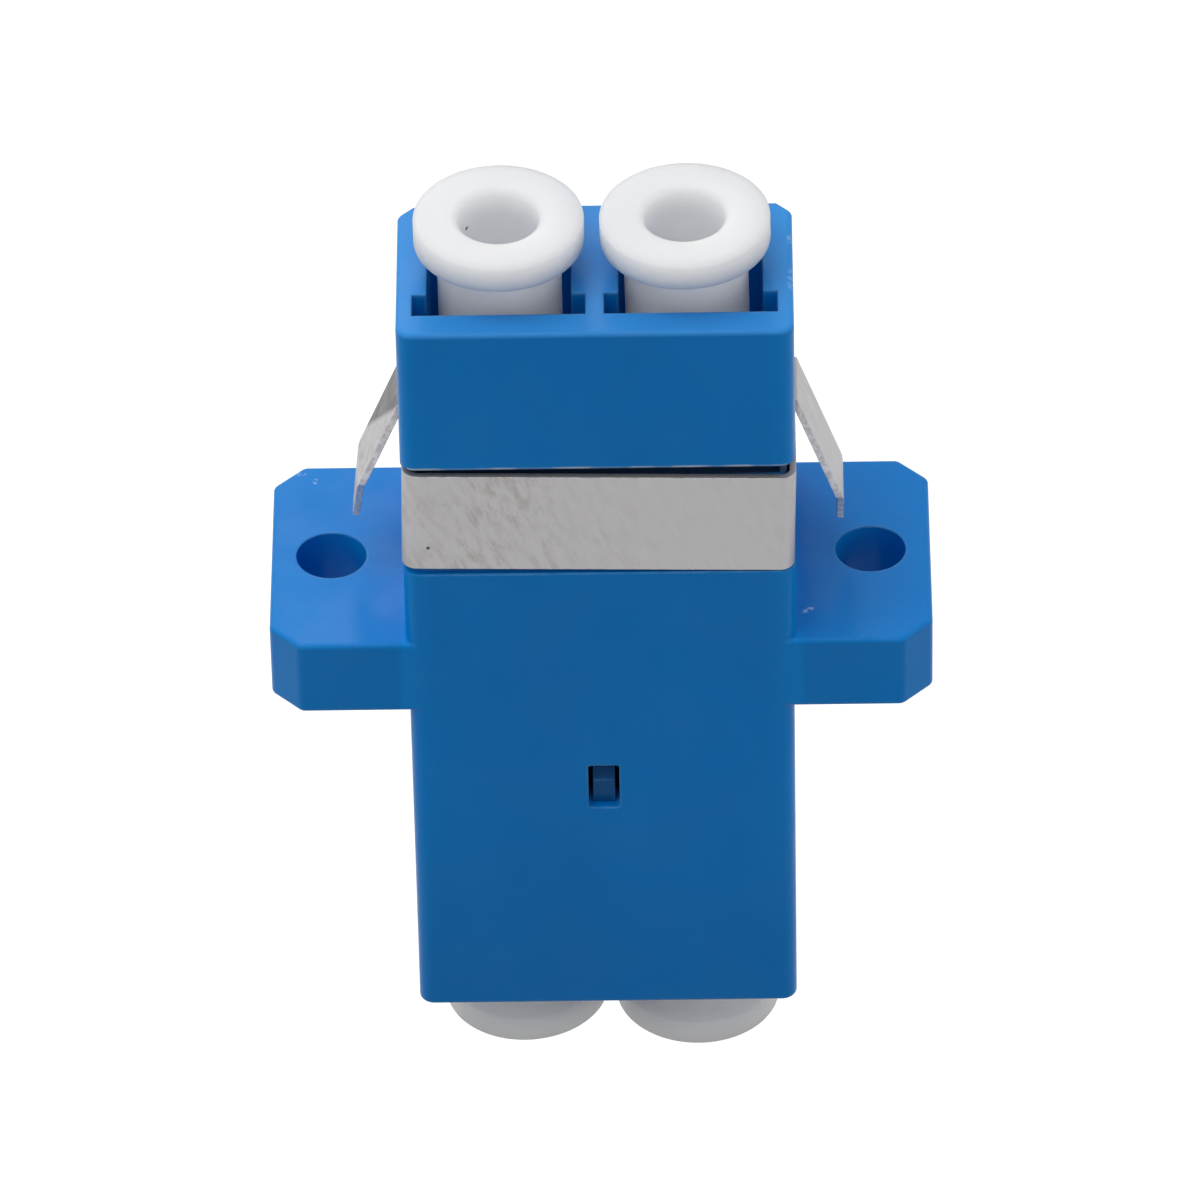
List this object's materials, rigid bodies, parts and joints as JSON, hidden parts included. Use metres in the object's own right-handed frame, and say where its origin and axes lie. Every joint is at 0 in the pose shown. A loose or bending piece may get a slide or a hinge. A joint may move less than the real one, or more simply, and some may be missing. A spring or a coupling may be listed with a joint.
{
  "type": "lc duplex fibre adapter",
  "caption": "Flanged LC duplex fibre optic adapter with a snap-in spring clip, ceramic split sleeves and pull-off dust caps.",
  "frame": {"origin": "under the centre of the adapter, at the level of the rear dust caps' rims", "axes": "+Z along the optical axes towards the front ports, +X across the two ports to the right, -Y out of the face with the snap window"},
  "size_m": [0.022, 0.0094, 0.034],
  "materials": {
    "housing_plastic": "satin moulded blue plastic",
    "holder_plastic": "satin moulded blue plastic",
    "zirconia": "ground white zirconia",
    "clip_steel": "satin stainless sheet",
    "cap_plastic": "soft white polyethylene"
  },
  "bodies": {
    "adapter": {"housing": "housing_plastic", "sleeve_holder_front": "holder_plastic", "sleeve_holder_rear": "holder_plastic", "split_sleeve_left": "zirconia", "split_sleeve_right": "zirconia", "spring_clip": "clip_steel"},
    "dust_cap_front_left": {"dust_cap_front_left": "cap_plastic"},
    "dust_cap_front_right": {"dust_cap_front_right": "cap_plastic"},
    "dust_cap_rear_left": {"dust_cap_rear_left": "cap_plastic"},
    "dust_cap_rear_right": {"dust_cap_rear_right": "cap_plastic"}
  },
  "joints": [
    {"name": "dust_cap_front_left_pull", "type": "slide", "parent": "adapter", "child": "dust_cap_front_left", "axis": [0, 0, 1], "range_m": [0, 0.015]},
    {"name": "dust_cap_front_right_pull", "type": "slide", "parent": "adapter", "child": "dust_cap_front_right", "axis": [0, 0, 1], "range_m": [0, 0.015]},
    {"name": "dust_cap_rear_left_pull", "type": "slide", "parent": "adapter", "child": "dust_cap_rear_left", "axis": [0, 0, -1], "range_m": [0, 0.015]},
    {"name": "dust_cap_rear_right_pull", "type": "slide", "parent": "adapter", "child": "dust_cap_rear_right", "axis": [0, 0, -1], "range_m": [0, 0.015]}
  ]
}
